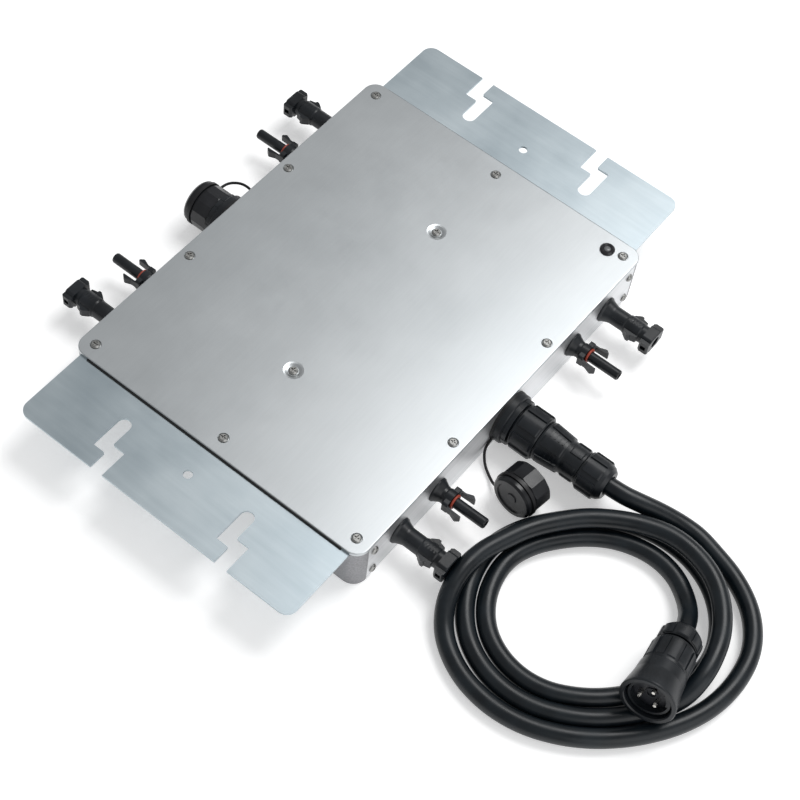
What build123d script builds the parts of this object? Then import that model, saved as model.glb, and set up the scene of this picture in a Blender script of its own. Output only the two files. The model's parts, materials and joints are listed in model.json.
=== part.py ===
from build123d import *
import math
import os

# Micro inverter for solar panels, in millimetres.
# +Z up, +Y from the front mounting plate to the rear one, +X towards the side with the AC lead.
# The origin is the middle of the underside of the housing.

# --- housing ---
BODY_W = 208.0
BODY_L = 271.0
BODY_H = 34.5
CORNER_R = 9.0
COVER_T = 2.0
PLATE_T = 1.5
PANEL_T = 2.0
PANEL_L = 253.0
SIDE_WALL = 5.0
END_WALL = 5.0
FLOOR_T = 3.0
RIM_Z = BODY_H - COVER_T
LEDGE_Z = RIM_Z - PLATE_T
WINDOW_L = 224.0
WINDOW_Z = (5.0, 28.0)
POST_R = 5.0
PILOT_R = 1.25
RIB_PITCH = 12.0
RIB_GROOVE = 5.0
RIB_DEPTH = 1.5

# --- mounting plates ---
FLANGE_OUT = 185.0
FLANGE_W = 194.6
FLANGE_IN = 117.0
FLANGE_CORNER_R = 7.0
SLOT_PITCH = 89.0
SLOT_W = 8.6
SLOT_MOUTH_SHIFT = 5.8
SLOT_END_SHIFT = -2.8
SLOT_MOUTH_END = 167.0
SLOT_STEP = 173.6
SLOT_TOP = 149.6
PLATE_HOLE_Y = 154.3
PLATE_HOLE_R = 2.75

# --- cover fixings ---
CORNER_SCREW = (94.7, 126.0)
END_SCREW_Y = 125.3
SIDE_SCREW = (97.3, 44.5)
POST_Y = 66.0
SPOT_R = 3.3
SPOT_DEPTH = 0.5
DIMPLE_R = 6.0
DIMPLE_DEPTH = 0.9
BEAD_W = 0.8
BEAD_H = 0.9
LENS_AT = (84.8, 123.8)
LENS_R = 4.6
PANEL_SCREW_Y = 121.5
PANEL_SCREW_Z = (6.0, 26.0)

# --- connectors on the side panels ---
FACE_X = BODY_W / 2
AXIS_Z = 17.4
WIDE_Y = 99.0
SLIM_Y = 65.0
DC_THREAD_R = 6.0
AC_THREAD_R = 10.6
AC_FLANGE_R = 16.0
AC_BARREL_R = 11.4
PIN_RING_R = 4.4
EYE_T = 1.8

# --- AC lead ---
CABLE_D = 11.0
COIL_CENTRE = (220.0, -68.0)
FAR_REAR = (259.0, -48.8, 18.0)
FAR_AXIS = (7.6, -50.4, 9.9)
FAR_PIN_RING_R = 5.6

# --- loose cap ---
CAP_MOUTH = (140.4, -24.6, 14.5)
CAP_AXIS = (-0.134, -0.99, 0.03)
CAP_START = 9.7

STRAP_D = 1.7

# Corner points of the lead between the plug and the coil, each a little outside its bend.
RUN_OUT = [
    (168.0, 0.0, 17.4),
    (186.0, 0.0, 17.4),
    (205.0, 6.5, 13.2),
    (222.0, 12.5, 8.2),
    (241.0, 13.8, 5.6),
    (262.0, 6.5, 5.6),
    (281.0, -8.0, 5.6),
    (293.0, -26.0, 5.6),
    (298.0, -48.0, 5.6),
    (295.5, -72.0, 5.6),
    (285.5, -90.0, 5.6),
    (274.5, -103.5, 5.6),
]
# Corner points of the innermost turn's end, from the coil up into the far connector.
TAIL = [
    (186.0, -25.0, 5.6),
    (202.0, -14.5, 5.6),
    (219.0, -10.4, 5.6),
    (235.0, -13.4, 5.6),
    (246.5, -22.0, 6.6),
    (253.6, -34.0, 10.6),
    (259.0, -48.8, 18.0),
    (260.9, -61.4, 20.5),
]
STRAP_RIGHT = [
    (104.9, -12.6, 10.4),
    (104.9, -20.4, 6.4),
    (109.6, -26.0, 2.4),
    (116.4, -30.4, 1.3),
    (122.8, -34.6, 3.6),
    (126.3, -35.9, 9.3),
]
STRAP_LEFT = [
    (104.9, 13.6, 19.6),
    (104.9, 21.4, 20.6),
    (110.6, 25.4, 20.8),
    (118.6, 25.6, 20.0),
    (125.0, 21.2, 19.0),
    (126.5, 13.7, 18.4),
]

CENTRE_UP = (Align.CENTER, Align.CENTER, Align.MIN)


def block(x0, x1, y0, y1, z0, z1):
    size = Box(x1 - x0, y1 - y0, z1 - z0, align=(Align.MIN, Align.MIN, Align.MIN))
    return Pos(x0, y0, z0) * size


def rod(radius, z0, z1):
    return Pos(0, 0, z0) * Cylinder(radius, z1 - z0, align=CENTRE_UP)


def washer(r_in, r_out, z0, z1):
    return rod(r_out, z0, z1) - rod(r_in, z0 - 1, z1 + 1)


def turned(*points):
    outline = Polyline(*[(r, 0, z) for r, z in points], close=True)
    return revolve(make_face(outline), Axis.Z)


def slab(width, length, radius, z0, z1):
    return Pos(0, 0, z0) * extrude(RectangleRounded(width, length, radius), z1 - z0)


def on_side(piece, y=0.0):
    """Stands a piece made along +Z on the outer face of the right side panel."""
    return Pos(FACE_X, y, AXIS_Z) * Rot(0, 90, 0) * piece


def left(piece):
    return mirror(piece, about=Plane.YZ)


def four(x, y):
    return [(sx * x, sy * y) for sx in (1, -1) for sy in (1, -1)]


def spread(count, start=0.0):
    return [start + i * 360.0 / count for i in range(count)]


def cover_screw_places():
    places = four(*CORNER_SCREW) + four(*SIDE_SCREW)
    places += [(0, END_SCREW_Y), (0, -END_SCREW_Y)]
    return places


def bend_radii(points):
    corners = [Vector(*p) for p in points]
    radii = []
    for a, b, c in zip(corners, corners[1:], corners[2:]):
        turn = math.radians((b - a).get_angle(c - b))
        shorter = min((b - a).length, (c - b).length)
        radii.append(0.45 * shorter / math.tan(turn / 2))
    return radii


def cord(name, points, diameter):
    radii = bend_radii(points)
    print(name, "bend radii", [round(r, 1) for r in radii])
    path = FilletPolyline(*points, radius=radii)
    section = Plane(origin=path @ 0, z_dir=path % 0) * Circle(diameter / 2)
    tube = sweep(section, path=path)
    expected = math.pi * diameter**2 / 4 * path.length
    print(name, "length", round(path.length, 1), "volume ratio", round(tube.volume / expected, 4))
    return tube


# ---------------------------------------------------------------- housing

def gasket_ring(z0, z1):
    outer = slab(203.0, 268.8, 8.1, z0, z1)
    inner = slab(198.8, 264.6, 6.0, z0 - 1, z1 + 1)
    return outer - inner


def plate_zone(grow, z0, z1):
    """Space taken by the two mounting plates, wider by grow on each side."""
    half = FLANGE_W / 2 + grow
    front = block(-half, half, -FLANGE_OUT, -FLANGE_IN + grow, z0, z1)
    rear = block(-half, half, FLANGE_IN - grow, FLANGE_OUT, z0, z1)
    return front + rear


def cover_gasket():
    high = gasket_ring(LEDGE_Z + 0.7, RIM_Z) - plate_zone(0.2, 0, BODY_H)
    low = gasket_ring(LEDGE_Z - 0.8, LEDGE_Z) & plate_zone(2.2, 0, BODY_H)
    steps = gasket_ring(LEDGE_Z - 0.8, RIM_Z) & plate_zone(2.2, 0, BODY_H)
    steps = steps - plate_zone(0.2, 0, BODY_H)
    return high + low + steps


def tray():
    body = slab(BODY_W, BODY_L, CORNER_R, 0, RIM_Z)
    inner_w = BODY_W - 2 * (PANEL_T + SIDE_WALL)
    body -= slab(inner_w, BODY_L - 2 * END_WALL, 5.0, FLOOR_T, BODY_H)
    for x, y in four(*CORNER_SCREW):
        body += Pos(x, y, FLOOR_T) * Box(12, 15, LEDGE_Z - FLOOR_T, align=CENTRE_UP)
    side = PANEL_L / 2
    body -= block(FACE_X - PANEL_T, FACE_X + 1, -side, side, -1, BODY_H)
    body -= block(-FACE_X - 1, -FACE_X + PANEL_T, -side, side, -1, BODY_H)
    window = WINDOW_L / 2
    low, high = WINDOW_Z
    body -= block(90, 110, -window, window, low, high)
    body -= block(-110, -90, -window, window, low, high)
    nut_pocket = Pos(0, 0, AXIS_Z) * Rot(0, 90, 0) * Cylinder(13.6, 2 * FACE_X + 4)
    body -= nut_pocket & (block(90, 110, -20, 20, 0, RIM_Z) + block(-110, -90, -20, 20, 0, RIM_Z))
    for x, y in four(*SIDE_SCREW):
        boss = Pos(x, y, FLOOR_T) * Cylinder(4.2, RIM_Z - FLOOR_T, align=CENTRE_UP)
        body += boss & block(-102, 102, -60, 60, 0, BODY_H)
    for sign in (1, -1):
        body += Pos(0, sign * END_SCREW_Y, FLOOR_T) * Cylinder(POST_R, LEDGE_Z - FLOOR_T, align=CENTRE_UP)
        body += Pos(0, sign * (END_SCREW_Y + 4), FLOOR_T) * Box(8, 6, LEDGE_Z - FLOOR_T, align=CENTRE_UP)
        body += Pos(0, sign * POST_Y, FLOOR_T) * Cylinder(POST_R, RIM_Z - DIMPLE_DEPTH - FLOOR_T, align=CENTRE_UP)
    for x, y in board_fixings():
        body += Pos(x, y, FLOOR_T) * Cylinder(3.5, 5.0, align=CENTRE_UP)
        body -= Pos(x, y, FLOOR_T + 1) * Cylinder(1.1, 8, align=CENTRE_UP)
    body -= plate_zone(0.2, LEDGE_Z, BODY_H)
    body -= gasket_ring(LEDGE_Z + 0.7, BODY_H) - plate_zone(0.2, 0, BODY_H)
    body -= gasket_ring(LEDGE_Z - 0.8, BODY_H) & plate_zone(2.2, 0, BODY_H)
    for x, y in cover_screw_places() + [(0, POST_Y), (0, -POST_Y)]:
        body -= Pos(x, y, 18) * Cylinder(PILOT_R, 20, align=CENTRE_UP)
    for sign in (1, -1):
        for y in (PANEL_SCREW_Y, -PANEL_SCREW_Y):
            for z in PANEL_SCREW_Z:
                hole = Pos(sign * 98, y, z) * Rot(0, 90, 0) * Cylinder(PILOT_R, 12)
                body -= hole
    for i in range(-8, 8):
        x = (i + 0.5) * RIB_PITCH
        body -= block(x - RIB_GROOVE / 2, x + RIB_GROOVE / 2, -118, 118, -1, RIB_DEPTH)
    return body


def side_panel():
    side = PANEL_L / 2 - 0.1
    panel = block(FACE_X - PANEL_T, FACE_X, -side, side, 0.4, RIM_Z)
    panel = fillet(panel.edges().filter_by(Axis.X), 1.2)
    for y in (WIDE_Y, SLIM_Y, -SLIM_Y, -WIDE_Y):
        panel -= on_side(rod(DC_THREAD_R + 0.1, -4, 2), y)
    panel -= on_side(rod(AC_THREAD_R + 0.1, -4, 2))
    for y in (PANEL_SCREW_Y, -PANEL_SCREW_Y):
        for z in PANEL_SCREW_Z:
            panel -= Pos(FACE_X, y, z) * Rot(0, 90, 0) * Cylinder(1.7, 8)
    return panel


def machine_screw(head_r, head_h, shank_r, length):
    """Button head with a cross recess, head upwards, seat at z = 0."""
    head = turned((0, 0), (head_r, 0), (head_r, head_h * 0.45), (head_r * 0.72, head_h), (0, head_h))
    arm = head_r * 1.15
    cross = Box(arm, 0.7, head_h * 1.1, align=CENTRE_UP) + Box(0.7, arm, head_h * 1.1, align=CENTRE_UP)
    screw = head + rod(shank_r, -length, 0.01)
    return screw - Pos(0, 0, head_h * 0.35) * cross


def cover_screws():
    small = []
    seat = BODY_H - SPOT_DEPTH
    for x, y in cover_screw_places():
        small.append(Pos(x, y, seat) * machine_screw(2.75, 1.5, 1.2, 12))
    for y in (POST_Y, -POST_Y):
        small.append(Pos(0, y, BODY_H - DIMPLE_DEPTH) * machine_screw(2.75, 1.5, 1.2, 12))
    return Compound(small)


def panel_screws():
    screws = []
    for y in (PANEL_SCREW_Y, -PANEL_SCREW_Y):
        for z in PANEL_SCREW_Z:
            one = Pos(FACE_X, y, z) * Rot(0, 90, 0) * machine_screw(2.6, 1.4, 1.2, 9)
            screws.append(one)
            screws.append(left(one))
    return Compound(screws)


def hook_slot(x):
    """Z-shaped slot of the front plate: a mouth at the outer edge, then an offset blind leg."""
    mouth = x + SLOT_MOUTH_SHIFT
    leg = x + SLOT_END_SHIFT
    half = SLOT_W / 2
    opening = block(mouth - half, mouth + half, -FLANGE_OUT - 1, -SLOT_MOUTH_END, LEDGE_Z - 1, BODY_H)
    blind = block(leg - half, leg + half, -SLOT_STEP, -SLOT_TOP - half, LEDGE_Z - 1, BODY_H)
    end = Pos(leg, -SLOT_TOP - half, LEDGE_Z - 1) * Cylinder(half, 4, align=CENTRE_UP)
    slot = opening + blind + end
    return fillet(slot.edges().filter_by(Axis.Z).filter_by_position(Axis.Y, -SLOT_STEP - 1, -160), 1.0)


def flange_plate():
    half = FLANGE_W / 2
    plate = block(-half, half, -FLANGE_OUT, -FLANGE_IN, LEDGE_Z, RIM_Z)
    outer = plate.edges().filter_by(Axis.Z).filter_by_position(Axis.Y, -FLANGE_OUT - 1, -FLANGE_OUT + 1)
    plate = fillet(outer, FLANGE_CORNER_R)
    plate -= hook_slot(-SLOT_PITCH / 2)
    plate -= hook_slot(SLOT_PITCH / 2)
    plate -= Pos(0, -PLATE_HOLE_Y, LEDGE_Z) * Cylinder(PLATE_HOLE_R, 8)
    plate -= Pos(0, -END_SCREW_Y, LEDGE_Z) * Cylinder(1.4, 8)
    plate -= Pos(-LENS_AT[0], -LENS_AT[1], LEDGE_Z) * Cylinder(3.0, 8)
    for x in (CORNER_SCREW[0], -CORNER_SCREW[0]):
        plate -= block(x - 1.4, x + 1.4, -CORNER_SCREW[1] - 1.4, -FLANGE_IN + 1, LEDGE_Z - 1, BODY_H)
    return plate


def top_cover():
    cover = slab(BODY_W, BODY_L, CORNER_R - 0.5, RIM_Z, BODY_H)
    cover = fillet(cover.faces().sort_by(Axis.Z)[-1].edges(), 0.6)
    for x, y in cover_screw_places():
        cover -= Pos(x, y, BODY_H) * turned(
            (0, 1), (SPOT_R, 1), (SPOT_R, 0), (SPOT_R - 0.4, -SPOT_DEPTH), (0, -SPOT_DEPTH))
        cover -= Pos(x, y, RIM_Z) * Cylinder(1.4, 8)
    for y in (POST_Y, -POST_Y):
        cover -= Pos(0, y, 0) * Cylinder(DIMPLE_R, 100)
        cover += Pos(0, y, BODY_H) * dimple()
    x, y = LENS_AT
    cover -= Pos(x, y, RIM_Z) * Cylinder(2.6, 8)
    return cover


def dimple():
    """Pressed round dimple of the cover sheet, its rim level with the sheet's top."""
    d = DIMPLE_DEPTH
    t = COVER_T
    return turned(
        (1.4, -d), (3.3, -d), (4.9, -0.2), (DIMPLE_R + 0.01, 0),
        (DIMPLE_R + 0.01, -t), (5.4, -t), (4.2, -d - t), (1.4, -d - t))


def status_lens():
    """Round black bezel of the status light; its clip stem goes through the cover."""
    x, y = LENS_AT
    bezel = turned(
        (2.1, -4), (2.5, -4), (2.5, 0), (LENS_R, 0), (LENS_R, 0.7), (LENS_R - 0.9, 1.5),
        (3.0, 1.5), (2.5, 1.0), (2.1, 1.0))
    return Pos(x, y, BODY_H) * bezel


def status_light():
    """Clear light pipe in the middle of the bezel."""
    x, y = LENS_AT
    pipe = turned((0, -5), (2.05, -5), (2.05, 0.9), (1.5, 1.3), (0.8, 1.45), (0, 1.5))
    return Pos(x, y, BODY_H) * pipe


def seal_beads():
    """Sealing compound along both ends of the cover, on the mounting plates."""
    y = BODY_L / 2
    bead = block(-92, 92, y + 0.05, y + BEAD_W, RIM_Z, RIM_Z + BEAD_H)
    top = bead.edges().filter_by(Axis.X).sort_by(Axis.Z)[-1:]
    bead = fillet(top, 0.35)
    return Compound([bead, Rot(0, 0, 180) * bead])


# ---------------------------------------------------------------- DC connectors

def ear(points, half):
    """Side lug drawn as (lateral, axial) points and given its thickness across."""
    face = make_face(Polyline(*[(0, y, z) for y, z in points], close=True))
    lug = extrude(face, half, both=True)
    return lug + mirror(lug, about=Plane.XZ)


def wide_connector():
    """Panel connector with the wide socket housing, along +Z from the panel's face."""
    body = turned(
        (3.0, -12), (DC_THREAD_R, -12), (DC_THREAD_R, 0), (8.2, 0), (8.2, 0.9), (7.3, 2.0), (6.0, 5.4),
        (5.7, 6.6), (5.7, 15.6), (6.2, 16.6), (6.2, 26.0), (5.6, 26.8), (5.6, 31), (3.0, 31))
    grip = ear([(4.6, 16.0), (6.4, 17.6), (8.6, 20.8), (8.6, 22.4), (7.4, 22.8), (6.5, 26.4), (4.6, 26.4)], 2.8)
    end = Pos(0, 0, 29.6) * extrude(RectangleRounded(11.4, 12.0, 2.0), 6.6)
    jaw = ear([(5.0, 29.6), (7.6, 29.6), (8.7, 31.0), (8.7, 35.4), (8.0, 36.2), (5.0, 36.2)], 4.2)
    end = chamfer(end.faces().sort_by(Axis.Z)[-1].edges(), 0.4)
    body = body + grip + end + jaw
    for side in (1, -1):
        body -= Pos(0, side * 7.2, 33.0) * Box(3.2, 4.0, 3.4)
        body -= Pos(0, side * 5.9, 21.0) * Box(3.0, 2.0, 4.6)
    for turn in spread(4, 45):
        body -= Rot(0, 0, turn) * Pos(6.2, 0, 11.2) * Box(1.3, 1.2, 7.6)
    for turn in (0, 180):
        for z in (18.4, 20.4, 22.4, 24.4):
            body -= Rot(0, 0, turn) * Pos(6.3, 0, z) * Box(0.7, 4.6, 0.8)
    return body - rod(3.6, 9, 40)


def slim_connector():
    """Panel connector with the slim pin barrel and two latch arms, along +Z."""
    body = turned(
        (1.2, -12), (DC_THREAD_R, -12), (DC_THREAD_R, 0), (7.6, 0), (7.6, 0.9), (6.9, 1.8), (5.3, 4.8),
        (5.1, 6.4), (5.5, 7.2), (5.5, 11.6), (3.25, 11.6), (3.25, 33.0), (2.9, 33.8), (1.2, 33.8))
    hub = Pos(0, 0, 8.4) * extrude(RectangleRounded(8.4, 14.8, 1.6), 3.2)
    arms = ear([(5.6, 9.0), (7.4, 9.0), (7.4, 14.4), (8.9, 18.2), (8.9, 19.0), (7.3, 21.0),
                (6.5, 21.0), (6.2, 12.2), (5.6, 11.6)], 2.3)
    return body + hub + arms - rod(1.15, -13, 35) - rod(2.3, 6, 35)


def dc_contact_sleeve():
    return washer(1.25, 2.1, 2, 26.5) + washer(1.25, 2.95, -14, 8)


def dc_contact_pin():
    return turned((0, -14), (1.1, -14), (1.1, 27), (0.5, 29), (0, 29))


def dc_locknut():
    return Pos(0, 0, -6.4) * extrude(RegularPolygon(9.2, 6), 4.2) - rod(DC_THREAD_R + 0.05, -8, 0)


def dc_seal():
    return Pos(0, 0, 12.45) * Torus(4.05, 0.75)


# ---------------------------------------------------------------- AC sockets, caps and straps

def ac_socket():
    """Panel socket: flange, grip ring, threaded barrel and a floor that carries the pins."""
    body = turned(
        (8.8, -14), (AC_THREAD_R, -14), (AC_THREAD_R, EYE_T), (AC_FLANGE_R, EYE_T), (AC_FLANGE_R, 5.4),
        (15.4, 6.0), (14.7, 6.0), (14.7, 9.2), (AC_BARREL_R, 9.2), (AC_BARREL_R, 17.6), (8.6, 17.6),
        (8.6, 1.0), (0, 1.0), (0, -1.2), (8.8, -1.2))
    for turn in spread(16):
        body -= Rot(0, 0, turn) * Pos(15.1, 0, 7.8) * Box(1.2, 1.6, 3.4)
    for turn in spread(3, 90):
        body -= Rot(0, 0, turn) * Pos(PIN_RING_R, 0, 0) * Cylinder(1.25, 6)
    return body


def ac_pins():
    pins = []
    for turn in spread(3, 90):
        pin = turned((0, -8), (1.24, -8), (1.24, 11.6), (0.7, 12.8), (0, 12.8))
        pins.append(on_side(Rot(0, 0, turn) * Pos(PIN_RING_R, 0, 0) * pin))
    return pins


def ac_locknut():
    nut = washer(AC_THREAD_R + 0.05, 13.2, -6.4, -2.2)
    for turn in spread(6):
        nut -= Rot(0, 0, turn) * Pos(13.2, 0, -4.3) * Box(1.6, 2.4, 6)
    return nut


def grip_pads(count, r_in, r_out, z0, z1, width, start=0.0):
    """Raised wrench pads round a nut or sleeve, with softened ends."""
    shell = turned((r_in, z0), (r_out - 0.5, z0), (r_out, z0 + 0.7), (r_out, z1 - 0.7), (r_out - 0.5, z1), (r_in, z1))
    pads = None
    for turn in spread(count, start):
        wedge = Rot(0, 0, turn) * Pos((r_in + r_out) / 2, 0, (z0 + z1) / 2) * Box(
            r_out - r_in + 6, width, z1 - z0 + 2)
        pad = shell & wedge
        pads = pad if pads is None else pads + pad
    return pads


def cap():
    """Screw cap: twelve flats at the mouth, a groove for its strap, a rounded closed end."""
    mouth = Pos(0, 0, CAP_START) * extrude(RegularPolygon(14.3, 12), 10.9)
    skirt = mouth & turned(
        (0, 9), (13.7, 9), (14.3, 10.3), (14.3, 20.0), (13.7, 20.6), (0, 20.6))
    head = turned(
        (0, 20), (13.5, 20), (13.5, 21.2), (12.4, 21.3), (12.4, 23.7), (13.6, 23.8), (13.6, 26.0),
        (12.4, 27.3), (10.2, 27.3), (9.5, 26.5), (3.4, 26.3), (3.0, 26.9), (0, 26.9))
    return skirt + head - rod(11.75, 9, 22)


def cap_seal():
    return washer(8.4, 11.6, 20.7, 21.9)


def strap(points, cap_place):
    eye = on_side(washer(AC_THREAD_R + 0.1, 16.3, 0, EYE_T))
    loop = cap_place * washer(12.65, 14.5, 21.5, 23.5)
    return eye + cord("strap", points, STRAP_D) + loop


def loose_cap_place():
    frame = Plane(origin=CAP_MOUTH, x_dir=(0.99, -0.134, 0), z_dir=CAP_AXIS)
    return frame.location * Pos(0, 0, -CAP_START)


# ---------------------------------------------------------------- AC lead, near end

def coupling_nut():
    shell = turned(
        (11.8, 9.75), (13.0, 9.75), (13.5, 10.4), (13.5, 24.9), (12.9, 25.6), (9.95, 25.6),
        (9.95, 20.9), (11.8, 20.9))
    return shell + grip_pads(8, 13.3, 14.5, 11.2, 24.6, 6.4, 22.5)


def plug_body():
    core = turned(
        (8.15, 18.0), (11.2, 18.0), (11.2, 20.5), (9.6, 20.5), (9.6, 25.9), (12.3, 26.0), (12.5, 27.0),
        (12.3, 31.0), (10.9, 41.5), (10.4, 43.0), (10.3, 53.9), (9.0, 54.0), (9.0, 63.8), (6.1, 63.8),
        (6.1, 26.0), (8.15, 26.0))
    pads = turned((9, 28), (13.0, 28), (13.3, 28.6), (12.0, 41.0), (11.6, 41.6), (9, 41.6))
    tail = turned((9, 44.6), (10.9, 44.6), (11.1, 45.2), (11.1, 52.0), (10.8, 52.6), (9, 52.6))
    body = core
    for turn in spread(6, 30):
        body += pads & (Rot(0, 0, turn) * Pos(11, 0, 35) * Box(7, 6.2, 20))
    for turn in spread(6):
        body += tail & (Rot(0, 0, turn) * Pos(11, 0, 48) * Box(6, 5.0, 20))
    for turn in spread(6):
        for z in (30.6, 33.4, 36.2, 39.0):
            bar = Rot(0, 0, turn) * Pos(11, 0, z) * Box(6, 4.6, 1.1)
            body += bar & turned((9, 28), (12.8, 28), (11.4, 42), (9, 42))
    bore = rod(8.15, 17, 26) + rod(6.1, 25, 70)
    return body - bore


def plug_insert():
    insert = rod(8.1, 2.4, 24.5)
    for turn in spread(3, 90):
        insert -= Rot(0, 0, turn) * Pos(PIN_RING_R, 0, 0) * rod(1.5, 2, 14)
    return insert


def gland_nut():
    shell = turned(
        (9.3, 54.4), (11.0, 54.4), (11.4, 55.0), (11.4, 67.0), (10.6, 69.4), (8.8, 71.5), (6.2, 71.5),
        (6.2, 70.4), (9.3, 66.4))
    return shell + grip_pads(8, 11.2, 12.4, 55.6, 67.2, 5.4, 22.5)


def gland_seal():
    bore = CABLE_D / 2 + 0.05
    return turned((bore, 64.0), (8.7, 64.0), (8.7, 65.2), (6.6, 68.6), (bore, 68.6))


# ---------------------------------------------------------------- AC lead, cable

def coil_solid():
    """Outer shape of the three turns: one ring on the floor and the crossing turns on top of it."""
    x, y = COIL_CENTRE
    low = Pos(x - 6.4, y - 5.2, 0) * Rot(0, 0, 39) * extrude(Ellipse(82.0, 70.4), 10.7)
    low -= Pos(x + 1.0, y + 2.4, -1) * Rot(0, 0, 39) * extrude(Ellipse(58.4, 44.0), 30)
    high = Pos(x, y - 1, 10.7) * extrude(Ellipse(71.5, 71.5), 10.9)
    high -= Pos(x, y - 1, 5) * extrude(Ellipse(58.0, 54.5), 30)
    high &= Pos(x, y, 0) * Rot(0, 0, 16) * block(-100, 100, 0, 100, 0, 40)
    low -= Pos(137.5, -32.5, -1) * Cylinder(18.0, 30, align=CENTRE_UP)
    return low + high


# ---------------------------------------------------------------- AC lead, far end

def far_place():
    frame = Plane(origin=FAR_REAR, x_dir=(0.989, 0.149, 0), z_dir=FAR_AXIS)
    return frame.location


def far_gland_nut():
    shell = turned(
        (6.2, 0), (8.6, 0), (11.0, 2.8), (11.4, 3.6), (11.4, 10.6), (10.9, 11.4), (9.1, 11.4),
        (9.1, 4.6), (6.2, 1.2))
    return shell + grip_pads(8, 11.2, 12.1, 3.8, 11.0, 6.6)


def far_body():
    core = turned(
        (6.1, 5.2), (8.8, 5.2), (8.8, 13.0), (11.2, 13.0), (12.0, 13.8), (12.5, 29.0), (12.2, 30.2),
        (11.3, 30.2), (11.3, 34.2), (12.4, 34.2), (12.4, 36.4), (11.9, 36.4), (11.9, 49.4), (10.5, 49.4),
        (10.5, 36.0), (6.1, 36.0))
    core += grip_pads(12, 11.6, 13.0, 15.0, 28.6, 4.6)
    key = turned((9.3, 36.0), (10.6, 36.0), (10.6, 48.8), (9.3, 48.8))
    return core + (key & (Rot(0, 0, 20) * Pos(10, 0, 41) * Box(4, 8, 20)))


def far_insert():
    insert = rod(10.4, 36.2, 45.2)
    insert -= Rot(0, 0, 20) * Pos(10, 0, 38) * Box(4.4, 8.6, 30)
    insert += washer(2.6, 3.4, 45, 45.8)
    for turn in spread(3, 80):
        insert -= Rot(0, 0, turn) * Pos(FAR_PIN_RING_R, 0, 0) * rod(1.45, 30, 50)
    return insert


def far_pins():
    pins = []
    for turn in spread(3, 80):
        pin = turned((0, 36.3), (1.44, 36.3), (1.44, 48.4), (0.9, 49.6), (0, 49.6))
        pins.append(Rot(0, 0, turn) * Pos(FAR_PIN_RING_R, 0, 0) * pin)
    return pins


def far_collar():
    shell = turned(
        (11.65, 30.7), (12.9, 30.7), (13.5, 31.4), (13.9, 38.0), (15.9, 50.6), (15.9, 51.4), (15.4, 52.0),
        (13.6, 52.0), (13.0, 51.4), (12.8, 46.0), (12.8, 33.8), (11.65, 33.8))
    return shell


# ---------------------------------------------------------------- inside

def board_fixings():
    return four(72, 108) + [(72, 0), (-72, 0)]


def circuit_board():
    board = Pos(0, 0, 8.1) * Box(160, 232, 1.6, align=CENTRE_UP)
    for x, y in board_fixings():
        board -= Pos(x, y, 8) * Cylinder(1.3, 6)
    for y in (POST_Y, -POST_Y):
        board -= Pos(0, y, 8) * Cylinder(6.2, 6)
    return board


def board_screws():
    screws = [Pos(x, y, 9.75) * machine_screw(2.4, 1.5, 1.0, 5) for x, y in board_fixings()]
    return Compound(screws)


def transformers():
    cores = []
    for x, y in four(34, 32):
        core = Pos(x, y, 9.75) * Box(34, 30, 19, align=CENTRE_UP)
        core = fillet(core.edges().filter_by(Axis.Z), 3)
        cores.append(core)
    return Compound(cores)


def capacitors():
    cans = []
    for x in (-60, -38, 38, 60):
        for y in (94, -94):
            can = Pos(x, y, 9.75) * Cylinder(8, 20, align=CENTRE_UP)
            cans.append(fillet(can.edges(), 1.0))
    return Compound(cans)


def filter_choke():
    ring = Pos(0, 98, 9.75) * washer(6, 13, 0, 12)
    return fillet(ring.edges(), 1.5)


def heat_bar():
    return Pos(0, -98, 9.75) * Box(40, 10, 14, align=CENTRE_UP)


def transistors():
    parts = []
    for x in (-14, 0, 14):
        parts.append(Pos(x, -90.45, 10.4) * Box(10, 4.8, 15, align=CENTRE_UP))
    return Compound(parts)


# ---------------------------------------------------------------- write the pieces

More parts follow.
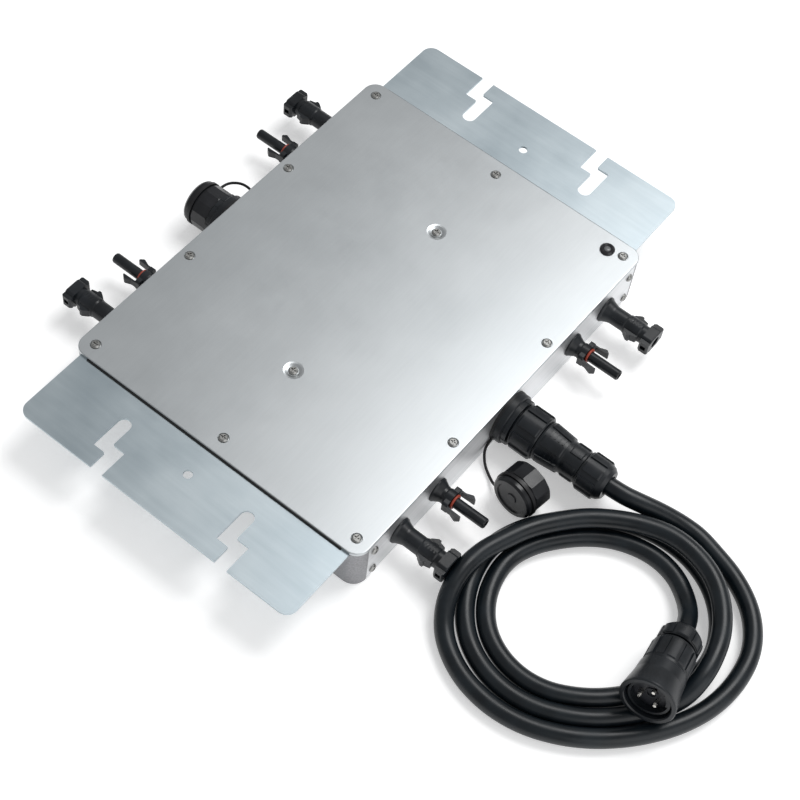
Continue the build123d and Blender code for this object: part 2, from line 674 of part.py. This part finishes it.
def pieces():
    rear = Rot(0, 0, 180)
    far = far_place()
    cap_right_at = loose_cap_place()
    cap_left_at = Pos(FACE_X, 0, AXIS_Z) * Rot(0, 90, 0)
    out = {}
    out["housing_tray"] = tray()
    out["side_panel_right"] = side_panel()
    out["side_panel_left"] = left(side_panel())
    out["panel_screws"] = panel_screws()
    out["cover_gasket"] = cover_gasket()
    out["mounting_plate_front"] = flange_plate()
    out["mounting_plate_rear"] = rear * flange_plate()
    out["top_cover"] = top_cover()
    out["cover_screws"] = cover_screws()
    out["status_lens"] = status_lens()
    out["status_light"] = status_light()
    out["seal_beads"] = seal_beads()
    for row, sign in (("rear", 1), ("front", -1)):
        wide = on_side(wide_connector(), sign * WIDE_Y)
        slim = on_side(slim_connector(), sign * SLIM_Y)
        out[f"dc_socket_right_{row}"] = wide
        out[f"dc_socket_left_{row}"] = left(wide)
        out[f"dc_plug_right_{row}"] = slim
        out[f"dc_plug_left_{row}"] = left(slim)
    seals = [on_side(dc_seal(), y) for y in (SLIM_Y, -SLIM_Y)]
    sleeves = [on_side(dc_contact_sleeve(), y) for y in (WIDE_Y, -WIDE_Y)]
    pins = [on_side(dc_contact_pin(), y) for y in (SLIM_Y, -SLIM_Y)]
    nuts = [on_side(dc_locknut(), y) for y in (WIDE_Y, SLIM_Y, -SLIM_Y, -WIDE_Y)]
    out["dc_seal_rings"] = Compound(seals + [left(s) for s in seals])
    out["dc_contact_sleeves"] = Compound(sleeves + [left(s) for s in sleeves])
    out["dc_contact_pins"] = Compound(pins + [left(s) for s in pins])
    out["dc_locknuts"] = Compound(nuts + [left(s) for s in nuts])
    out["ac_socket_right"] = on_side(ac_socket())
    out["ac_socket_left"] = left(on_side(ac_socket()))
    out["ac_socket_pins"] = Compound(ac_pins() + [left(p) for p in ac_pins()])
    out["ac_locknuts"] = Compound([on_side(ac_locknut()), left(on_side(ac_locknut()))])
    out["cap_left"] = left(on_side(cap()))
    out["cap_seal_left"] = left(on_side(cap_seal()))
    out["cap_strap_left"] = left(strap(STRAP_LEFT, cap_left_at))
    out["cap_right"] = cap_right_at * cap()
    out["cap_seal_right"] = cap_right_at * cap_seal()
    out["cap_strap_right"] = strap(STRAP_RIGHT, cap_right_at)
    out["plug_coupling_nut"] = on_side(coupling_nut())
    out["plug_body"] = on_side(plug_body())
    out["plug_insert"] = on_side(plug_insert())
    out["plug_gland_nut"] = on_side(gland_nut())
    out["plug_gland_seal"] = on_side(gland_seal())
    out["lead_run_out"] = cord("run out", RUN_OUT, CABLE_D)
    out["lead_coil"] = coil_solid()
    out["lead_tail"] = cord("tail", TAIL, CABLE_D)
    out["far_gland_nut"] = far * far_gland_nut()
    out["far_body"] = far * far_body()
    out["far_insert"] = far * far_insert()
    out["far_pins"] = Compound([far * p for p in far_pins()])
    out["far_collar"] = far * far_collar()
    out["circuit_board"] = circuit_board()
    out["board_screws"] = board_screws()
    out["transformers"] = transformers()
    out["capacitors"] = capacitors()
    out["filter_choke"] = filter_choke()
    out["heat_bar"] = heat_bar()
    out["transistors"] = transistors()
    return out


os.makedirs("parts", exist_ok=True)
for node, shape in pieces().items():
    export_step(shape, f"parts/{node}.step")
    print(node, len(shape.solids()), round(shape.volume, 1))
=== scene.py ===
import json
import math

import bmesh
import bpy
from mathutils import Matrix, Vector


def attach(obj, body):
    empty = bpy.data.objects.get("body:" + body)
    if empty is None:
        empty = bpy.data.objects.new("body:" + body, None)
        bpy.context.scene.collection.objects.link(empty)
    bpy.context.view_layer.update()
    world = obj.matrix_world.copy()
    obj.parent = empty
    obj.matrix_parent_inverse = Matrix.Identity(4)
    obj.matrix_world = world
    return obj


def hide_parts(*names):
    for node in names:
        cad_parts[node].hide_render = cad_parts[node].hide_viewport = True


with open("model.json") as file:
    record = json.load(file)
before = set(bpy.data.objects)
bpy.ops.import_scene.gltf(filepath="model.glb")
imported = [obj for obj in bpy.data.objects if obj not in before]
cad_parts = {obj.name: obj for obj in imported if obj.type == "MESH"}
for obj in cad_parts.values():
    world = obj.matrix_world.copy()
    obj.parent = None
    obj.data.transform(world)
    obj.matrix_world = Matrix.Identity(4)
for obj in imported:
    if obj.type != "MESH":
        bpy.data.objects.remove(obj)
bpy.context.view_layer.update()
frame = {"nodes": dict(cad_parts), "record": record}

SCENE = bpy.context.scene
MM = 0.001


# ------------------------------------------------------------ camera

VIEW_AZIMUTH = 31.64
VIEW_ELEVATION = 56.84
VIEW_ROLL = 8.04
VIEW_PLACE = Vector((0.35279, -0.52096, 0.89555))
VIEW_LENS = 82.7
SENSOR_WIDTH = 36.0


def place_camera():
    azimuth = math.radians(VIEW_AZIMUTH)
    elevation = math.radians(VIEW_ELEVATION)
    roll = math.radians(VIEW_ROLL)
    flat = math.cos(elevation)
    back = Vector((math.sin(azimuth) * flat, -math.cos(azimuth) * flat, math.sin(elevation)))
    level = Vector((math.cos(azimuth), math.sin(azimuth), 0))
    upright = back.cross(level)
    right = math.cos(roll) * level + math.sin(roll) * upright
    up = back.cross(right)
    data = bpy.data.cameras.new("studio_camera")
    data.lens = VIEW_LENS
    data.sensor_width = SENSOR_WIDTH
    camera = bpy.data.objects.new("studio_camera", data)
    turn = Matrix((right, up, back)).transposed().to_4x4()
    camera.matrix_world = Matrix.Translation(VIEW_PLACE) @ turn
    SCENE.collection.objects.link(camera)
    SCENE.camera = camera


place_camera()


# ------------------------------------------------------------ AC lead

LEAD_WIDTH = 0.011
COIL_CENTRE = (0.220, -0.068)
STRAND_Z = 0.0056

# From inside the plug's gland down to the floor beside the coil.
LEAD_START = [
    (0.168, 0.0, 0.0174),
    (0.183, 0.0, 0.0174),
    (0.195, 0.0036, 0.0156),
    (0.206, 0.0080, 0.0124),
    (0.218, 0.0118, 0.0086),
    (0.230, 0.0132, 0.0062),
]
# The coil's turns: degrees round the coil, millimetres from its centre, and the height of a
# strand that is lifted off the floor.
FIRST_TURN = [
    (75, 81.5), (60, 83.5), (45, 85), (30, 83.4), (15, 78.2), (0, 73.2), (-15, 68.6), (-30, 65.6),
    (-45, 64.8), (-60, 66.2), (-75, 69.4), (-90, 74.2), (-105, 79.2), (-120, 83.7), (-135, 86.4),
]
OVER_THE_COIL = [
    (-147, 85.6, 11.0), (-158, 81.5, 16.4), (-170, 75.5, 17.0), (180, 70, 16.8), (165, 65.5, 16.4),
    (150, 62, 16.2), (135, 61, 16.4), (120, 61, 16.4), (105, 63, 16.3), (90, 66, 16.5), (75, 67, 16.7),
    (60, 67.4, 16.7), (45, 65.7, 16.8), (30, 63.8, 16.8), (15, 61.6, 16.8), (4, 60.6, 15.8), (-7, 59.6, 11.6),
    (-18, 56.4, 6.3),
]
SECOND_TURN = [
    (-30, 54.2), (-45, 53.6), (-60, 55), (-75, 57.8), (-90, 62.4), (-105, 67.2), (-120, 71.2), (-135, 74),
    (-150, 75), (-165, 75.2), (180, 75), (165, 71.5), (150, 67.8), (135, 66.5), (120, 66.3), (105, 67.6),
    (90, 68.2), (75, 68.6), (60, 68), (45, 66.4), (30, 63.8), (18, 61), (8, 57), (-3, 50.4),
]
INNER_TURN = [
    (-15, 45.0), (-30, 42.4), (-45, 42.0), (-60, 43.3), (-75, 46), (-90, 50.5), (-105, 55), (-120, 59),
    (-135, 62.2), (-150, 63.6), (-165, 63.6), (180, 63), (165, 59.6), (150, 56.2), (135, 54.8), (120, 54.6),
    (105, 54.6), (90, 54.8), (75, 54.0), (61, 51.6, 6.2), (47, 48.8, 9.0),
]
# Up from the floor into the far connector.
LEAD_END = [
    (0.2569, -0.0425, 0.0145),
    (0.2594, -0.0520, 0.0186),
    (0.2609, -0.0614, 0.0205),
]


def on_coil(spot):
    angle = math.radians(spot[0])
    radius = spot[1] * MM
    height = spot[2] * MM if len(spot) > 2 else STRAND_Z
    x = COIL_CENTRE[0] + radius * math.cos(angle)
    y = COIL_CENTRE[1] + radius * math.sin(angle)
    return (x, y, height)


def lead_route():
    route = list(LEAD_START)
    for spots in (FIRST_TURN, OVER_THE_COIL, SECOND_TURN, INNER_TURN):
        route += [on_coil(spot) for spot in spots]
    return route + LEAD_END


def lay_lead():
    """The lead as one tube. Its points carry its half width, because a curve's own box grows by it."""
    route = lead_route()
    curve = bpy.data.curves.new("ac_lead", "CURVE")
    curve.dimensions = "3D"
    spline = curve.splines.new("NURBS")
    spline.points.add(len(route) - 1)
    for point, place in zip(spline.points, route):
        point.co = (*place, 1.0)
        point.radius = LEAD_WIDTH / 2
    spline.order_u = 3
    spline.use_endpoint_u = True
    spline.resolution_u = 8
    curve.bevel_depth = 1.0
    curve.bevel_resolution = 8
    curve.use_fill_caps = True
    lead = bpy.data.objects.new("ac_lead", curve)
    SCENE.collection.objects.link(lead)
    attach(lead, "inverter")
    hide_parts("lead_run_out", "lead_coil", "lead_tail")
    return lead


LEAD = lay_lead()


# ------------------------------------------------------------ materials

class Finish:
    """A material being put together: its node tree, its shader and its object coordinates."""

    def __init__(self, name):
        self.material = bpy.data.materials.new(name)
        self.material.use_nodes = True
        self.nodes = self.material.node_tree.nodes
        self.links = self.material.node_tree.links
        self.shader = self.nodes["Principled BSDF"]
        self.place = self.nodes.new("ShaderNodeTexCoord").outputs["Object"]
        self.height = None

    def set(self, **sockets):
        for name, value in sockets.items():
            self.shader.inputs[name.replace("_", " ")].default_value = value

    def stretched(self, scale):
        mapping = self.nodes.new("ShaderNodeMapping")
        mapping.inputs["Scale"].default_value = scale
        self.links.new(self.place, mapping.inputs["Vector"])
        return mapping.outputs["Vector"]

    def noise(self, scale, detail=4.0, rough=0.55, stretch=None):
        """Soft grain: scale is in spots per metre, and stretch slows it along an axis."""
        node = self.nodes.new("ShaderNodeTexNoise")
        node.inputs["Scale"].default_value = scale
        node.inputs["Detail"].default_value = detail
        node.inputs["Roughness"].default_value = rough
        self.links.new(self.stretched(stretch) if stretch else self.place, node.inputs["Vector"])
        return node.outputs["Fac"]

    def span(self, source, low, high, start=0.3, end=0.7):
        """The grain's middle range spread from low to high."""
        node = self.nodes.new("ShaderNodeMapRange")
        node.inputs["From Min"].default_value = start
        node.inputs["From Max"].default_value = end
        node.inputs["To Min"].default_value = low
        node.inputs["To Max"].default_value = high
        self.links.new(source, node.inputs["Value"])
        return node.outputs["Result"]

    def tint(self, source, dark, light, start=0.3, end=0.7):
        """The grain's middle range as colours from dark to light."""
        node = self.nodes.new("ShaderNodeValToRGB")
        node.color_ramp.elements[0].position = start
        node.color_ramp.elements[0].color = (*dark, 1)
        node.color_ramp.elements[1].position = end
        node.color_ramp.elements[1].color = (*light, 1)
        self.links.new(source, node.inputs["Fac"])
        return node.outputs["Color"]

    def times(self, first, second):
        node = self.nodes.new("ShaderNodeMix")
        node.data_type = "RGBA"
        node.blend_type = "MULTIPLY"
        node.inputs["Factor"].default_value = 1.0
        self.links.new(first, node.inputs["A"])
        self.links.new(second, node.inputs["B"])
        return node.outputs["Result"]

    def colour(self, source):
        self.links.new(source, self.shader.inputs["Base Color"])

    def roughness(self, source):
        self.links.new(source, self.shader.inputs["Roughness"])

    def bump(self, source, depth, strength=1.0):
        """Relief of that depth in metres, laid on top of the relief already there."""
        node = self.nodes.new("ShaderNodeBump")
        node.inputs["Distance"].default_value = depth
        node.inputs["Strength"].default_value = strength
        self.links.new(source, node.inputs["Height"])
        if self.height is not None:
            self.links.new(self.height, node.inputs["Normal"])
        self.height = node.outputs["Normal"]
        self.links.new(self.height, self.shader.inputs["Normal"])


def cover_sheet():
    """Satin aluminium sheet: a very fine grain along the housing, soft clouding and faint handling marks."""
    f = Finish("cover_sheet")
    f.set(Metallic=1.0)
    grain = f.noise(700, 4, 0.6, stretch=(1.0, 0.06, 1.0))
    cloud = f.noise(7, 3)
    marks = f.noise(26, 5, 0.7)
    f.colour(f.times(f.tint(grain, (0.535, 0.558, 0.57), (0.555, 0.578, 0.59)),
                     f.tint(cloud, (0.95, 0.96, 0.965), (1.0, 1.0, 1.0))))
    f.roughness(f.span(marks, 0.335, 0.375))
    f.bump(grain, 0.00002, 0.2)
    f.bump(f.noise(1500, 2), 0.00002, 0.25)
    return f.material


def plate_zinc():
    """Zinc-plated steel with a cool blue passivation, thin streaks and soft clouding."""
    f = Finish("plate_zinc")
    f.set(Metallic=1.0)
    streak = f.noise(240, 4, 0.6, stretch=(0.08, 1.0, 1.0))
    cloud = f.noise(20, 4)
    f.colour(f.times(f.tint(streak, (0.47, 0.53, 0.56), (0.52, 0.58, 0.61)),
                     f.tint(cloud, (0.88, 0.91, 0.93), (1.0, 1.0, 1.0))))
    f.roughness(f.span(cloud, 0.33, 0.42))
    f.bump(f.noise(900, 3), 0.00003, 0.3)
    return f.material


def cast_housing():
    """Die-cast alloy with a coarse skin."""
    f = Finish("cast_housing")
    f.set(Metallic=0.85)
    skin = f.noise(900, 6, 0.65)
    cloud = f.noise(35, 4)
    f.colour(f.times(f.tint(skin, (0.26, 0.26, 0.27), (0.44, 0.44, 0.45)),
                     f.tint(cloud, (0.82, 0.82, 0.83), (1.0, 1.0, 1.0))))
    f.roughness(f.span(skin, 0.50, 0.68))
    f.bump(skin, 0.00022, 0.7)
    return f.material


def side_sheet():
    """Mill-finish alloy sheet with drawing lines along its length."""
    f = Finish("side_sheet")
    f.set(Metallic=1.0)
    lines = f.noise(300, 4, 0.6, stretch=(1.0, 0.03, 1.0))
    cloud = f.noise(22, 4)
    f.colour(f.times(f.tint(lines, (0.66, 0.67, 0.68), (0.76, 0.77, 0.78)),
                     f.tint(cloud, (0.90, 0.90, 0.91), (1.0, 1.0, 1.0))))
    f.roughness(f.span(cloud, 0.36, 0.50))
    f.bump(lines, 0.00005, 0.4)
    return f.material


def bright_steel():
    f = Finish("bright_steel")
    f.set(Metallic=1.0)
    mark = f.noise(1600, 3)
    f.colour(f.tint(mark, (0.26, 0.26, 0.25), (0.40, 0.40, 0.39)))
    f.roughness(f.span(mark, 0.28, 0.44))
    f.bump(mark, 0.00003, 0.4)
    return f.material


def moulded(name, dark, light, smooth, dull, grain=1500, depth=0.00005, shine=0.4):
    """Moulded plastic or rubber: a fine spark-eroded skin, slightly rubbed in places."""
    f = Finish(name)
    f.shader.inputs["Specular IOR Level"].default_value = shine
    skin = f.noise(grain, 4, 0.6)
    rub = f.noise(75, 4)
    f.colour(f.tint(rub, dark, light))
    f.roughness(f.span(rub, smooth, dull))
    f.bump(skin, depth, 0.5)
    f.bump(f.noise(220, 2), 0.00006, 0.2)
    return f.material


def connector_plastic():
    return moulded("connector_plastic", dark=(0.0036, 0.005, 0.0068), light=(0.0105, 0.0135, 0.0175),
                   smooth=0.30, dull=0.44)


def cap_plastic():
    return moulded("cap_plastic", dark=(0.004, 0.0045, 0.006), light=(0.013, 0.014, 0.017),
                   smooth=0.26, dull=0.38)


def insert_plastic():
    return moulded("insert_plastic", dark=(0.006, 0.007, 0.010), light=(0.016, 0.018, 0.024),
                   smooth=0.34, dull=0.50)


def strap_rubber():
    return moulded("strap_rubber", dark=(0.004, 0.004, 0.005), light=(0.011, 0.011, 0.013),
                   smooth=0.42, dull=0.60)


def seal_rubber():
    return moulded("seal_rubber", dark=(0.006, 0.006, 0.006), light=(0.016, 0.016, 0.016),
                   smooth=0.50, dull=0.70)


def ring_rubber():
    """Red silicone of the DC connectors' sealing rings."""
    return moulded("ring_rubber", dark=(0.26, 0.035, 0.02), light=(0.38, 0.062, 0.034),
                   smooth=0.38, dull=0.52)


def lead_jacket():
    """Smooth black rubber jacket with a cool sheen."""
    return moulded("lead_jacket", dark=(0.0022, 0.0042, 0.0062), light=(0.006, 0.0105, 0.0145),
                   smooth=0.30, dull=0.40, grain=900, depth=0.00004, shine=0.36)


def tinned_contact():
    f = Finish("tinned_contact")
    f.set(Metallic=1.0)
    mark = f.noise(900, 3)
    f.colour(f.tint(mark, (0.62, 0.60, 0.56), (0.78, 0.76, 0.72)))
    f.roughness(f.span(mark, 0.18, 0.32))
    f.bump(mark, 0.00002, 0.3)
    return f.material


def status_window():
    f = Finish("status_window")
    mark = f.noise(500, 3)
    f.colour(f.tint(mark, (0.006, 0.006, 0.008), (0.016, 0.016, 0.02)))
    f.roughness(f.span(mark, 0.10, 0.22))
    return f.material


def light_pipe():
    """Milky clear light pipe of the status light."""
    f = Finish("light_pipe")
    haze = f.noise(900, 3)
    f.colour(f.tint(haze, (0.10, 0.105, 0.11), (0.17, 0.175, 0.18)))
    f.roughness(f.span(haze, 0.08, 0.18))
    return f.material


def board_lacquer():
    f = Finish("board_lacquer")
    weave = f.noise(700, 3, 0.5, stretch=(1.0, 0.2, 1.0))
    f.colour(f.tint(weave, (0.010, 0.11, 0.045), (0.018, 0.17, 0.07)))
    f.roughness(f.span(weave, 0.25, 0.40))
    f.bump(weave, 0.00003, 0.4)
    return f.material


def dark_core():
    f = Finish("dark_core")
    grain = f.noise(1100, 4)
    f.colour(f.tint(grain, (0.03, 0.03, 0.032), (0.08, 0.08, 0.085)))
    f.roughness(f.span(grain, 0.55, 0.75))
    f.bump(grain, 0.00006, 0.5)
    return f.material


def can_sleeve():
    f = Finish("can_sleeve")
    f.set(Metallic=1.0)
    grain = f.noise(600, 3, 0.5, stretch=(1.0, 1.0, 0.1))
    f.colour(f.tint(grain, (0.55, 0.56, 0.58), (0.70, 0.71, 0.73)))
    f.roughness(f.span(grain, 0.28, 0.42))
    return f.material


FINISHES = {
    "cover_alloy": cover_sheet(),
    "plate_steel": plate_zinc(),
    "cast_alloy": cast_housing(),
    "sheet_alloy": side_sheet(),
    "screw_steel": bright_steel(),
    "black_plastic": connector_plastic(),
    "cap_plastic": cap_plastic(),
    "insert_plastic": insert_plastic(),
    "strap_rubber": strap_rubber(),
    "seal_rubber": seal_rubber(),
    "ring_rubber": ring_rubber(),
    "cable_jacket": lead_jacket(),
    "contact_metal": tinned_contact(),
    "lens_plastic": status_window(),
    "light_pipe": light_pipe(),
    "board_laminate": board_lacquer(),
    "ferrite": dark_core(),
    "can_alloy": can_sleeve(),
}


def dress(piece, material):
    piece.data.materials.clear()
    piece.data.materials.append(material)


def dress_frame():
    for row in frame["record"]["subparts"]:
        dress(frame["nodes"][row["node"]], FINISHES[row["material_slot"]])
    dress(LEAD, FINISHES["cable_jacket"])


dress_frame()


# ------------------------------------------------------------ floor and light

FLOOR_HALF = 4.0
FLOOR_DROP = 0.0002
FLOOR_GLOW = 0.37
SKY_COLOUR = (0.98, 0.99, 1.0, 1)
SKY_STRENGTH = 0.40
# Each softbox: where it hangs, what it points at, its width and height, and its power in watts.
SOFTBOXES = {
    "overhead_softbox": ((0.30, 1.05, 1.95), (0.0, 0, 0), (1.1, 1.1), 28.5),
    "side_softbox": ((1.9, -0.5, 0.9), (0.1, 0, 0), (2.2, 1.6), 14),
}


def add_floor():
    bm = bmesh.new()
    bmesh.ops.create_grid(bm, x_segments=1, y_segments=1, size=FLOOR_HALF)
    mesh = bpy.data.meshes.new("floor")
    bm.to_mesh(mesh)
    bm.free()
    mesh.transform(Matrix.Translation((0, 0, -FLOOR_DROP)))
    floor = bpy.data.objects.new("floor", mesh)
    SCENE.collection.objects.link(floor)
    f = Finish("floor_card")
    f.set(Roughness=0.9)
    f.shader.inputs["Specular IOR Level"].default_value = 0.0
    f.shader.inputs["Emission Color"].default_value = (1, 1, 1, 1)
    f.shader.inputs["Emission Strength"].default_value = FLOOR_GLOW
    f.colour(f.tint(f.noise(3, 2), (0.90, 0.90, 0.90), (0.91, 0.91, 0.91)))
    dress(floor, f.material)


def add_panel(name, place, aim, size, power):
    """A softbox at place, turned to face aim."""
    data = bpy.data.lights.new(name, "AREA")
    data.shape = "RECTANGLE"
    data.size = size[0]
    data.size_y = size[1]
    data.energy = power
    lamp = bpy.data.objects.new(name, data)
    lamp.location = place
    toward = Vector(aim) - Vector(place)
    lamp.rotation_euler = toward.to_track_quat("-Z", "Y").to_euler()
    SCENE.collection.objects.link(lamp)


def light_studio():
    world = bpy.data.worlds.new("studio_world")
    world.use_nodes = True
    sky = world.node_tree.nodes["Background"]
    sky.inputs["Color"].default_value = SKY_COLOUR
    sky.inputs["Strength"].default_value = SKY_STRENGTH
    SCENE.world = world
    for name, (place, aim, size, power) in SOFTBOXES.items():
        add_panel(name, place, aim, size, power)
    SCENE.view_settings.view_transform = "Standard"


add_floor()
light_studio()
